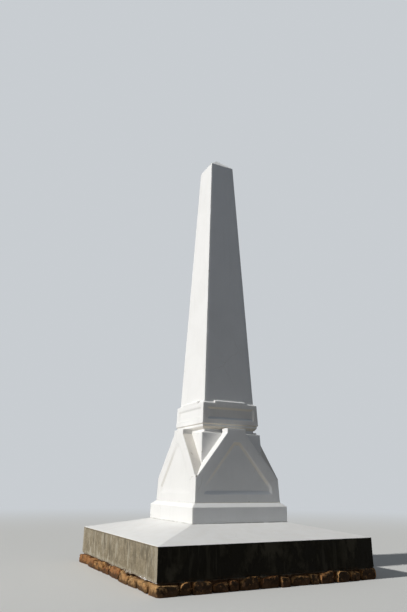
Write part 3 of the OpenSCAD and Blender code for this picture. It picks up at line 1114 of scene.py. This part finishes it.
def make_limewash():
    """White limewash brushed over smooth render: faint clouds and brush marks, grey rain streaks, grey
    low down, strongest on the lit sides, that is partly dust and partly painted shade, rakes darkened
    as painted shade, darker lines on the left bevels, and a dark seam round the base course. Sills are
    painted shade, bluer on the shaded front and back and greyer on the lit sides. On the shaded front
    and back, painted shade and bounce light: warmer soffits, an olive collar and a bluer, darker shaft.
    A line of painted shade under the collar's foot. Hairline cracks, and knocks along the arrises that
    bare the render. The walls' coats lap over the fields' upright edge, near-black painted shade on the
    front and back. Pits in the notch's mortar are painted earth-dark, as painted shade."""
    tint = colours()
    grey, earth, cool, bare = tint.limewash_grey, tint.limewash_earth, tint.shade_blue_tint, tint.bare_render
    wash = Finish("limewash_coat", specular=0.25)
    clouds = wash.noise(1.3, detail=4.0, roughness=0.55)
    blotches = wash.noise(5.0, detail=4.0, roughness=0.6, seed=3.0)
    brushed = wash.noise(46.0, detail=2.0, roughness=0.6, tall=0.16, seed=5.0)
    grain = wash.noise(300.0, detail=2.0, roughness=0.6)
    slope = wash.facing("Z")
    upright = 1 - wash.ramp(abs(slope), 0.10, 0.30)
    lying = wash.ramp(slope, 0.75, 0.95)
    to_front = wash.ramp(abs(wash.facing("Y")), 0.6, 0.7)
    shaded = wash.front_or_back(SHADE_BLEND)
    lit = 1 - shaded
    dust = wash.ramp(wash.z, *DUST_AND_SHADE_LEVELS) * upright
    sill = wash.ramp(slope, 0.12, 0.24) * wash.ramp(slope, 0.60, 0.54) * wash.ramp(wash.z, *SILL_LEVELS)
    bevel = wash.ramp(slope, 0.08, -0.04) * lit * wash.ramp(wash.facing("Y"), -0.12, -0.28)
    shaft_shade = wash.ramp(wash.z, *SHAFT_SHADE_LEVELS) * shaded * upright
    olive = wash.near(wash.z, COLLAR_SHADE_LEVEL, COLLAR_SHADE_REACH) * shaded * upright
    soffit = wash.ramp(slope, -0.03, -0.25) * shaded
    underside = wash.ramp(slope, -0.50, -0.66)
    rake = wash.near(slope, target=0.63, reach=0.06)
    outwards = abs(wash.x).highest(abs(wash.y))
    seam = wash.near(outwards, half_of("base_course"), SEAM_WIDTH)
    seam = seam * wash.near(wash.z, top_of("field_front"), SEAM_HEIGHT)
    cracks = wash.cells(wash.warped(amount=0.20, scale=2.4), scale=1.1, feature="DISTANCE_TO_EDGE")
    hairline = (1 - wash.ramp(cracks, *CRACK_WIDTHS)) * wash.ramp(wash.noise(0.9, seed=9.0), 0.54, 0.6)
    bared = wash.mark("arris") * wash.ramp(wash.noise(11.0, roughness=0.7, seed=4.0), 0.62, 0.68)
    lap_from, lap_to = (field_arris_level() - drop for drop in LAP_DROPS)
    lap = wash.ramp(wash.z + brushed * LAP_WANDER, lap_from, lap_to)
    lap = lap * wash.ramp(outwards, *(wall_half() - depth for depth in LAP_DEPTHS))
    base = wash.coats(
        tint.limewash,
        (wash.ramp(clouds, 0.42, 0.64) * 0.08, grey),
        (wash.ramp(brushed, 0.45, 0.65) * 0.03, grey),
        (wash.streaks(13.0, tall=0.045, seed=2.0) * upright * 0.06, grey),
        # Grey low down, strongest on the lit sides: partly dust, partly painted shade that holds back their
        # brightness.
        (dust * (0.33 - shaded * 0.12), grey),
        # Painted shade: sills bluer on the shaded front and back, greyer on the lit sides.
        (sill * shaded * 0.45, cool),
        (sill * lit * 0.30, grey),
        # Darker lines on the bevels of the lit sides that face the front.
        (bevel * 0.26, bare),
        # Painted shade: a bluer, darker shaft on the shaded front and back.
        (shaft_shade * 0.15, cool),
        # Painted shade: an olive collar on the shaded front and back.
        (olive * 0.24, earth),
        # Painted bounce light: warmer soffits on the shaded front and back.
        (soffit * 0.60, tint.bounce_warm_tint),
        # Painted shade: a darker line on the collar's downward chamfer, strongest on the lit sides.
        (underside * (0.35 - shaded * 0.20), earth),
        # Painted shade: darker rakes, most where they face the front and back.
        (rake * (0.08 + to_front * 0.32), earth),
        (lying * 0.12, grey),
        (lying * wash.ramp(blotches, 0.46, 0.62) * 0.05, earth),
        (seam * wash.ramp(blotches, 0.35, 0.60, 0.1, 0.5), tint.bare_render_dark),
        (hairline * 0.35, bare),
        (bared * 0.5, bare),
        # Painted shade: the notch mortar's pits darkened to earth.
        (wash.mark("pit_shade"), tint.earth),
        # On the front and back the lap is the dark render's near-black painted shade.
        (lap, wash.mix(to_front, tint.bare_render_low, tint.dark_render)),
    )
    height = brushed * 0.5 + grain * 0.2 + blotches * 0.5 - hairline * 0.4 - bared * 0.4
    return wash.done(base, wash.ramp(clouds, 0.35, 0.65, 0.78, 0.9), height, relief=0.003)


# Places of the marks on the walls' render, from its foot or head or from an upright arris

FADE_OVER_FOOT = 0.15
FADE_OVER_HEAD = 0.12
RAIN_OVER_FOOT = (0.12, 0.40)
ROUGH_OVER_FOOT = (0.05, 0.11)
SHADOW_LINE_UNDER_HEAD = 0.004
SHADOW_LINE_HEIGHT = 0.018
STRIP_FROM_ARRIS = (0.12, 0.09)


def make_bare_render():
    """Bare cement render: grey above and earthier near the ground, with short dark rain streaks
    under the top, pale lime streaks lower down, fine upright grain, a smoother strip along each
    upright arris, a dark line under the top edge that is painted shadow under the field's edge, and a
    rough-cast lower edge."""
    tint = colours()
    dark, pale = tint.bare_render_dark, tint.bare_render_pale
    wall = Finish("bare_render_coat", specular=0.2)
    foot, head = foot_of("wall_left"), top_of("wall_left")
    wander = wall.noise(3.0, roughness=0.6, seed=2.0)
    mottle = wall.noise(11.0, detail=5.0, roughness=0.7, seed=8.0)
    speckle = wall.noise(42.0, detail=4.0, roughness=0.7, seed=12.0)
    grain = wall.noise(62.0, roughness=0.65, tall=0.16, seed=14.0)
    lumps = wall.noise(30.0, detail=4.0, roughness=0.7, seed=5.0)
    grit = wall.noise(150.0, roughness=0.7)
    trowel = wall.noise(9.0, detail=4.0, roughness=0.6, tall=0.5, seed=4.0)
    pits = 1 - wall.ramp(wall.cells(wall.place, scale=60.0), 0.05, 0.16)
    rise = wall.ramp(wall.z + wander * 0.3, foot + FADE_OVER_FOOT, head + FADE_OVER_HEAD)
    inwards = abs(wall.x).lowest(abs(wall.y))
    strip = wall.ramp(inwards, *(wall_half() - away for away in STRIP_FROM_ARRIS))
    streaked = 1 - strip * 0.8
    high = wall.ramp(wall.z + wander * 0.25, *(foot + over for over in RAIN_OVER_FOOT), 0.35, 1.0)
    rain = wall.streaks(8.0, tall=0.28, seed=1.0, gathering=(0.40, 0.54)) * high * streaked
    low = wall.ramp(high, 1.0, 0.35, 0.55, 1.0)
    lime = wall.streaks(10.0, tall=0.26, seed=6.0, gathering=(0.38, 0.52)) * low * streaked
    edge = wall.near(wall.z, head - SHADOW_LINE_UNDER_HEAD, SHADOW_LINE_HEIGHT)
    rough = 1 - wall.ramp(wall.z + wander * 0.08, *(foot + over for over in ROUGH_OVER_FOOT))
    base = wall.coats(
        wall.mix(rise, tint.bare_render_low, tint.bare_render),
        (wall.ramp(mottle, 0.50, 0.66) * 0.35, dark),
        (wall.ramp(mottle, 0.50, 0.36) * 0.30, pale),
        (wall.ramp(speckle, 0.48, 0.62) * 0.35, dark),
        (wall.ramp(speckle, 0.50, 0.38) * 0.25, pale),
        (wall.ramp(grain, 0.48, 0.62) * streaked * 0.35, dark),
        (rain * 0.8, dark),
        (lime * 0.9, pale),
        (strip * 0.35, pale),
        # Painted shadow: a dark line just under the wall's top edge.
        (edge * wall.ramp(mottle, 0.35, 0.55, 0.3, 0.8), dark),
        (rough * wall.ramp(lumps, 0.44, 0.6, 0.1, 0.6), pale),
        (rough * wall.ramp(lumps, 0.48, 0.36) * 0.7, dark),
    )
    height = trowel * 0.8 + speckle * 0.4 + grit * 0.3 - pits * 0.25 + lumps * rough * 1.2
    return wall.done(base, wall.ramp(mottle, 0.35, 0.65, 0.82, 0.95), height, relief=0.008)


def make_painted_shade_render():
    """Render under a near-black coat, which is painted shade: it stands in for the deep shade of the
    front and back walls. Brush marks, lighter patches that gather in places, and dust near the ground."""
    tint = colours()
    wall = Finish("painted_shade_render_coat", specular=0.08)
    foot = foot_of("wall_front")
    mottle = wall.noise(4.0, detail=5.0, roughness=0.65, tall=0.6, seed=1.0)
    gathered = wall.ramp(wall.noise(1.1, detail=2.0, seed=6.0), 0.40, 0.58, 0.3, 1.0)
    lumps = wall.noise(28.0, detail=4.0, roughness=0.7, seed=5.0)
    brushed = wall.noise(34.0, roughness=0.6, tall=0.2, seed=2.0)
    grit = wall.noise(140.0, roughness=0.7)
    wander = wall.noise(7.0, roughness=0.6)
    dusty = 1 - wall.ramp(wall.z + wander * 0.12, *(foot + over for over in ROUGH_OVER_FOOT))
    base = wall.coats(
        tint.dark_render,
        (wall.ramp(mottle, 0.46, 0.64) * gathered * 0.9, tint.painted_shade_patches),
        (wall.streaks(10.0, tall=0.12, seed=3.0) * 0.4, tint.painted_shade_patches),
        (dusty * wall.ramp(lumps, 0.42, 0.6) * 0.3, tint.earth),
    )
    height = brushed * 0.6 + grit * 0.35 + mottle * 0.8 + lumps * dusty
    return wall.done(base, wall.ramp(mottle, 0.4, 0.6, 0.65, 0.9), height, relief=0.007)


SHADE_SIDE_BLEND = 0.01
SOIL_LEVELS = (0.28, 0.37)
SOIL_WANDER = 0.5


def make_rubble():
    """Yellow limestone: each stone its own tone, with pits, stains and earth in the hollows and at its
    foot. Faces on the front and back are painted nearly black, as painted shade, but for pale spots."""
    tint = colours()
    rock = Finish("rubble_stone", specular=0.2)
    tone = rock.mark("tone")
    mottle = rock.noise(6.0, detail=5.0, roughness=0.7, seed=2.0)
    pale = rock.noise(14.0, detail=4.0, roughness=0.7, seed=6.0)
    stain = rock.noise(9.0, detail=6.0, roughness=0.75, seed=15.0)
    rough = rock.noise(17.0, detail=6.0, roughness=0.75)
    pits = 1 - rock.ramp(rock.cells(rock.warped(amount=0.05, scale=24.0), scale=30.0), 0.06, 0.34)
    # Painted shade: stone faces towards the front and back go nearly black.
    painted_shade = rock.front_or_back(SHADE_SIDE_BLEND) * rock.ramp(abs(rock.facing("Y")), 0.60, 0.92)
    soil = 1 - rock.ramp(rock.z + mottle * SOIL_WANDER, *SOIL_LEVELS)
    base = rock.coats(
        tint.stone_red,
        (rock.ramp(tone, 0.0, 0.55), tint.stone),
        (rock.ramp(tone, 0.55, 1.0), tint.stone_pale),
        (rock.ramp(mottle, 0.50, 0.66) * 0.6, tint.stone_red),
        (rock.ramp(pale, 0.50, 0.64) * 0.5, tint.stone_pale),
        (pits * 0.55, tint.earth),
        (rock.ramp(stain, 0.48, 0.64) * 0.85, tint.earth),
        (painted_shade * rock.ramp(pale, 0.62, 0.52, 0.45, 0.97), tint.shade_black_stone),
        (soil * 0.9, tint.earth),
    )
    height = rough * 0.9 + mottle * 0.6 - pits * 0.4
    return rock.done(base, rock.ramp(mottle, 0.35, 0.65, 0.8, 0.95), height, relief=0.035)


MORTAR_RISES = (-0.01, 0.03)
SPLASHED_Y = (-0.8, -1.3)
SPLASHED_X = (-2.185, -2.2)


def make_mortar():
    """Mortar and earth packed between the footing's stones: pale under the bare render, with limewash
    splashed on it near the front's left corner, and near-black under the dark render of the front and
    back, which is painted shade."""
    tint = colours()
    bed = Finish("mortar_bed", specular=0.2)
    lumps = bed.noise(14.0, detail=5.0, roughness=0.7)
    grit = bed.noise(60.0, detail=4.0, roughness=0.7)
    drops = bed.ramp(bed.noise(13.0, detail=2.0, seed=5.0), 0.48, 0.54)
    high = bed.ramp(bed.z + lumps * 0.05, *(top_of("footing_right") + rise for rise in MORTAR_RISES))
    splashed = bed.ramp(bed.y, *SPLASHED_Y) * bed.ramp(bed.x, *SPLASHED_X)
    base = bed.coats(
        tint.earth,
        (high * bed.ramp(lumps, 0.4, 0.55), tint.mortar),
        (drops * splashed * high * 0.9, tint.limewash),
        # Painted shade: near-black on the front and back.
        (bed.front_or_back(SHADE_SIDE_BLEND) * high, tint.dark_render),
    )
    height = lumps * 0.8 + grit * 0.5
    return bed.done(base, bed.ramp(lumps, 0.35, 0.65, 0.85, 0.95), height, relief=0.02)


FINISH_MAKERS = {
    "limewash": make_limewash,
    "bare_render": make_bare_render,
    "dark_render": make_painted_shade_render,
    "rubble": make_rubble,
    "mortar": make_mortar,
}
made_finishes = {}


def finish_of(name):
    """The named finish, made the first time that it is asked for."""
    if name not in made_finishes:
        made_finishes[name] = FINISH_MAKERS[name]()
    return made_finishes[name]


def slot_of(node):
    """The record's material slot of a CAD node."""
    parts = frame["record"]["subparts"]
    return next(part["material_slot"] for part in parts if part["node"] == node)


# Operators

SHAFT_STEP = 0.075
BLUNT_TIP = 0.008


class OBELISK_OT_footing(bpy.types.Operator):
    """Builds the rubble footing: stones, the bedding between them and the mortar haunch"""

    bl_idname = "obelisk.footing"
    bl_label = "Footing"

    def execute(self, context):
        for side in SIDES:
            add_bedding(side)
            add_stones(side)
            add_haunch(side)
        return {"FINISHED"}


class OBELISK_OT_plinth(bpy.types.Operator):
    """Builds the plinth's rendered walls and the hipped white fields over them"""

    bl_idname = "obelisk.plinth"
    bl_label = "Plinth"

    def execute(self, context):
        for side in SIDES:
            add_wall(side)
            add_field(side)
        return {"FINISHED"}


class OBELISK_OT_pedestal(bpy.types.Operator):
    """Builds the base course, the die's core and the neck"""

    bl_idname = "obelisk.pedestal"
    bl_label = "Pedestal"

    def execute(self, context):
        square_piece("base_course")
        square_piece("die_core")
        square_piece("neck")
        return {"FINISHED"}


class OBELISK_OT_gables(bpy.types.Operator):
    """Builds the four gabled slabs of the die, and the mortar left in one notch"""

    bl_idname = "obelisk.gables"
    bl_label = "Gables"

    def execute(self, context):
        for side in SIDES:
            add_gable(side)
        add_notch_fill()
        return {"FINISHED"}


class OBELISK_OT_collar(bpy.types.Operator):
    """Builds the collar, its bed and its crest blocks"""

    bl_idname = "obelisk.collar"
    bl_label = "Collar"

    def execute(self, context):
        square_piece("collar_bed")
        add_collar()
        for side in SIDES:
            add_crest(side)
        return {"FINISHED"}


class OBELISK_OT_shaft(bpy.types.Operator):
    """Builds the tapered shaft and its pyramid top"""

    bl_idname = "obelisk.shaft"
    bl_label = "Shaft"

    def execute(self, context):
        square_piece("shaft", step=SHAFT_STEP)
        low, tip = profile_of("pyramidion")
        square_piece("pyramidion", profile=[low, (BLUNT_TIP, tip[1] - BLUNT_TIP)])
        return {"FINISHED"}


class OBELISK_OT_cad_finishes(bpy.types.Operator):
    """Gives every CAD node that shows the finish of its material slot"""

    bl_idname = "obelisk.cad_finishes"
    bl_label = "CAD finishes"

    def execute(self, context):
        for name, node in frame["nodes"].items():
            node.data.materials.clear()
            node.data.materials.append(finish_of(slot_of(name)))
        return {"FINISHED"}


class OBELISK_OT_stage(bpy.types.Operator):
    """Sets the floor, the backdrop, the key light and the camera"""

    bl_idname = "obelisk.stage"
    bl_label = "Stage"

    def execute(self, context):
        make_floor()
        make_world()
        make_key_light()
        make_camera()
        context.scene.view_settings.view_transform = "Standard"
        return {"FINISHED"}


FLOOR_RADIUS = 120.0
FLOOR_SIDES = 96
FLOOR_FADE = (9.0, 30.0)
FLOOR_BOUNCE = (4.5, 8.0)
SKY_RISE = 0.45


def make_floor():
    """A wide pale disc that fades into the backdrop with distance. It lights the obelisk less than
    it shows."""
    angle = circle_angles(FLOOR_SIDES)
    rim = FLOOR_RADIUS * np.column_stack([np.cos(angle), np.sin(angle), 0 * angle])
    mesh = bpy.data.meshes.new("floor")
    mesh.from_pydata(rim.tolist(), [], [list(range(FLOOR_SIDES))])
    floor = bpy.data.objects.new("floor", mesh)
    bpy.context.scene.collection.objects.link(floor)
    cloth = Finish("studio_floor", specular=0.0, roughness=0.9)
    mesh.materials.append(cloth.material)
    seen = cloth.seen()
    away = cloth.node("ShaderNodeVectorMath", {0: cloth.place}, "Value", operation="LENGTH")
    bounce = cloth.mix(cloth.ramp(away, *FLOOR_BOUNCE), studio().floor_near, studio().floor_far)
    cloth.feed(cloth.surface.inputs["Base Color"], cloth.mix(seen, bounce, studio().floor))
    fade = cloth.ramp(away, *FLOOR_FADE) * seen
    lit = Value(cloth, cloth.surface.outputs[0])
    glow = cloth.node("ShaderNodeEmission", {"Color": (*studio().backdrop, 1.0)})
    both = cloth.node("ShaderNodeMixShader", {0: fade, 1: lit, 2: glow})
    cloth.feed(cloth.tree.nodes["Material Output"].inputs["Surface"], both)


def make_world():
    """A pale backdrop for the camera. Everything else is lit by a sky that is bright at the horizon
    and fades upwards."""
    world = bpy.data.worlds.new("studio")
    bpy.context.scene.world = world
    world.use_nodes = True
    world.node_tree.nodes.clear()
    air = Shader(world.node_tree)
    rise = air.along(air.node("ShaderNodeTexCoord", {}, "Generated"), "Z")
    tint = air.mix(air.ramp(rise, 0.0, SKY_RISE), studio().horizon, studio().sky)
    lit = air.node("ShaderNodeBackground", {"Color": tint})
    shown = air.node("ShaderNodeBackground", {"Color": (*studio().backdrop, 1.0)})
    both = air.node("ShaderNodeMixShader", {0: air.seen(), 1: lit, 2: shown})
    output = air.tree.nodes.new("ShaderNodeOutputWorld")
    air.feed(output.inputs["Surface"], both)


def make_key_light():
    """One soft distant lamp from the left, nearly along the front face."""
    lamp = bpy.data.lights.new("key", "SUN")
    lamp.energy = studio().key_strength
    lamp.color = studio().key_colour
    lamp.angle = studio().key_softness
    key = bpy.data.objects.new("key", lamp)
    rise, turn = studio().key_height, studio().key_turn
    place = np.array([
        -math.cos(rise) * math.cos(turn), -math.cos(rise) * math.sin(turn), math.sin(rise),
    ])
    key.rotation_mode = "QUATERNION"
    key.rotation_quaternion = Matrix(look_axes(place).tolist()).to_quaternion()
    bpy.context.scene.collection.objects.link(key)


def look_axes(back, roll=0.0):
    """The three axes, as columns, of something that looks away from the direction back: its right
    is level, turned by the roll, and its up completes them."""
    back = back / np.linalg.norm(back)
    level = np.cross([0.0, 0.0, 1.0], back)
    level /= np.linalg.norm(level)
    upright = np.cross(back, level)
    right = level * math.cos(roll) + upright * math.sin(roll)
    up = upright * math.cos(roll) - level * math.sin(roll)
    return np.column_stack([right, up, back])


def make_camera():
    """The camera at the photograph's place, with its view, roll and focal length."""
    light = studio()
    lens = bpy.data.cameras.new("camera")
    lens.sensor_fit = "AUTO"
    lens.lens = light.focal_pixels / max(PHOTO_SIZE) * lens.sensor_width
    lens.clip_end = 2 * FLOOR_RADIUS
    camera = bpy.data.objects.new("camera", lens)
    yaw, pitch = light.camera_yaw, light.camera_pitch
    view = np.array([
        math.sin(yaw) * math.cos(pitch), math.cos(yaw) * math.cos(pitch), math.sin(pitch),
    ])
    axes = Matrix(look_axes(-view, light.camera_roll).tolist())
    camera.matrix_world = Matrix.Translation(light.camera_place) @ axes.to_4x4()
    bpy.context.scene.collection.objects.link(camera)
    bpy.context.scene.camera = camera


class OBELISK_PT_panel(bpy.types.Panel):
    """Lists the obelisk's pieces and its sizes and colours"""

    bl_idname = "OBELISK_PT_panel"
    bl_label = "Obelisk"
    bl_space_type = "VIEW_3D"
    bl_region_type = "UI"
    bl_category = "Obelisk"

    def draw(self, context):
        for operator in OPERATORS:
            self.layout.operator(operator.bl_idname)
        for group in (sizes(), colours(), studio()):
            box = self.layout.box()
            for name in group.__annotations__:
                box.prop(group, name)


OPERATORS = (
    OBELISK_OT_stage,
    OBELISK_OT_footing,
    OBELISK_OT_plinth,
    OBELISK_OT_pedestal,
    OBELISK_OT_gables,
    OBELISK_OT_collar,
    OBELISK_OT_shaft,
    OBELISK_OT_cad_finishes,
)
GROUPS = {
    "obelisk_sizes": MasonrySizes,
    "obelisk_colours": MasonryColours,
    "obelisk_studio": StudioLight,
}


def register():
    for group in GROUPS.values():
        bpy.utils.register_class(group)
    for name, group in GROUPS.items():
        setattr(bpy.types.Scene, name, bpy.props.PointerProperty(type=group))
    for operator in OPERATORS:
        bpy.utils.register_class(operator)
    bpy.utils.register_class(OBELISK_PT_panel)


def unregister():
    bpy.utils.unregister_class(OBELISK_PT_panel)
    for operator in reversed(OPERATORS):
        bpy.utils.unregister_class(operator)
    for name in GROUPS:
        delattr(bpy.types.Scene, name)
    for group in reversed(GROUPS.values()):
        bpy.utils.unregister_class(group)


def main():
    register()
    for operator in OPERATORS:
        group, name = operator.bl_idname.split(".")
        getattr(getattr(bpy.ops, group), name)()


if __name__ == "__main__":
    main()
